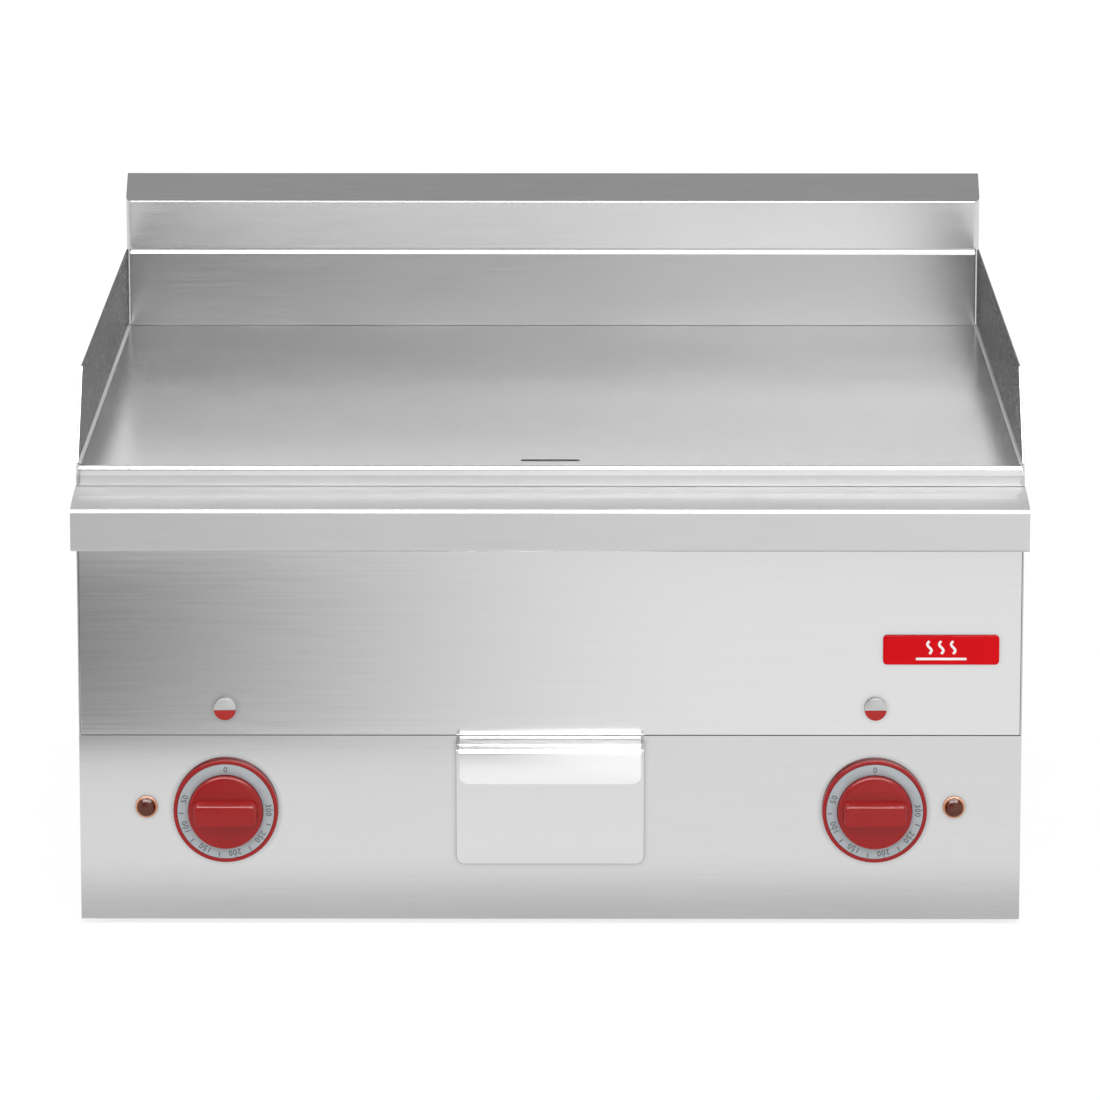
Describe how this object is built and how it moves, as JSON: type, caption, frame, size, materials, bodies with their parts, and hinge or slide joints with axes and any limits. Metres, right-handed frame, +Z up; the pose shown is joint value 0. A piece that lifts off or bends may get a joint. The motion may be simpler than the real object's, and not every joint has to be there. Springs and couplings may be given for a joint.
{
  "type": "flat top griddle",
  "caption": "Countertop electric flat griddle with a polished plate, splash guards, sloping rear cap, numbered rotary controls, pilot lamps and a pull-out grease drawer.",
  "frame": {"origin": "centre of the footprint, on the surface that the feet stand on", "axes": "+Z up, front (knobs and drawer) towards -Y, +X to the cook's right"},
  "size_m": [0.6, 0.6, 0.3973],
  "materials": {
    "satin_steel": "satin brushed stainless sheet",
    "polished_plate": "polished hard chrome on thick steel plate",
    "galvanised": "galvanised or zinc plated steel",
    "dark_steel": "heat-darkened nickel alloy sheath",
    "copper": "bare copper tube",
    "red_plastic": "moulded heat-proof plastic, semi-gloss",
    "dial_print": "anodised ring with printed numbers",
    "red_lens": "clear tinted lens",
    "amber_lens": "clear tinted lens",
    "badge_red": "domed gloss badge",
    "black_plastic": "moulded",
    "cream_plastic": "moulded, heat resistant",
    "rubber": "moulded",
    "fibre_blanket": "needled ceramic fibre",
    "brass": "turned"
  },
  "bodies": {
    "chassis": {"worktop_front": "satin_steel", "griddle_plate": "polished_plate", "splash_guard_left": "satin_steel", "splash_guard_right": "satin_steel", "splash_back": "satin_steel", "rear_cap": "satin_steel", "side_panel_left": "satin_steel", "side_panel_right": "satin_steel", "base_pan": "galvanised", "rear_panel": "galvanised", "upper_fascia": "satin_steel", "control_panel": "satin_steel", "badge": "badge_red", "foot_front_left": "rubber", "foot_front_right": "rubber", "foot_rear_left": "rubber", "foot_rear_right": "rubber", "lamp_lens_red_left": "red_lens", "lamp_lens_red_right": "red_lens", "lamp_lens_amber_left": "amber_lens", "lamp_lens_amber_right": "amber_lens", "lamp_holder_red_left": "black_plastic", "lamp_holder_red_right": "black_plastic", "lamp_holder_amber_left": "black_plastic", "lamp_holder_amber_right": "black_plastic", "thermostat_left": "cream_plastic", "thermostat_right": "cream_plastic", "safety_limiter_left": "black_plastic", "safety_limiter_right": "black_plastic", "sensing_bulb_left": "copper", "sensing_bulb_right": "copper", "heating_element_left": "dark_steel", "heating_element_right": "dark_steel", "press_plate_left": "galvanised", "press_plate_right": "galvanised", "insulation_blanket": "fibre_blanket", "heat_shield": "galvanised", "clamp_stud_front_left": "galvanised", "clamp_stud_front_right": "galvanised", "clamp_stud_rear_left": "galvanised", "clamp_stud_rear_right": "galvanised", "drain_chute": "satin_steel", "drawer_runner_left": "galvanised", "drawer_runner_right": "galvanised", "terminal_block": "cream_plastic", "contactor": "black_plastic", "cable_gland": "black_plastic", "bonding_stud": "brass", "wire_loom_left": "rubber", "wire_loom_right": "rubber"},
    "knob_left": {"knob_left": "red_plastic", "dial_ring_left": "dial_print", "thermostat_shaft_left": "galvanised"},
    "knob_right": {"knob_right": "red_plastic", "dial_ring_right": "dial_print", "thermostat_shaft_right": "galvanised"},
    "drawer": {"drawer_tray": "satin_steel", "drawer_front": "satin_steel", "drawer_handle": "satin_steel"}
  },
  "joints": [
    {"name": "knob_left_turn", "type": "hinge", "parent": "chassis", "child": "knob_left", "pos_m": [-0.206, -0.27, 0.0746], "axis": [0, 1, 0], "range_deg": [0, 272]},
    {"name": "knob_right_turn", "type": "hinge", "parent": "chassis", "child": "knob_right", "pos_m": [0.206, -0.27, 0.0746], "axis": [0, 1, 0], "range_deg": [0, 272]},
    {"name": "drawer_slide", "type": "slide", "parent": "chassis", "child": "drawer", "axis": [0, -1, 0], "range_m": [0, 0.22]}
  ]
}
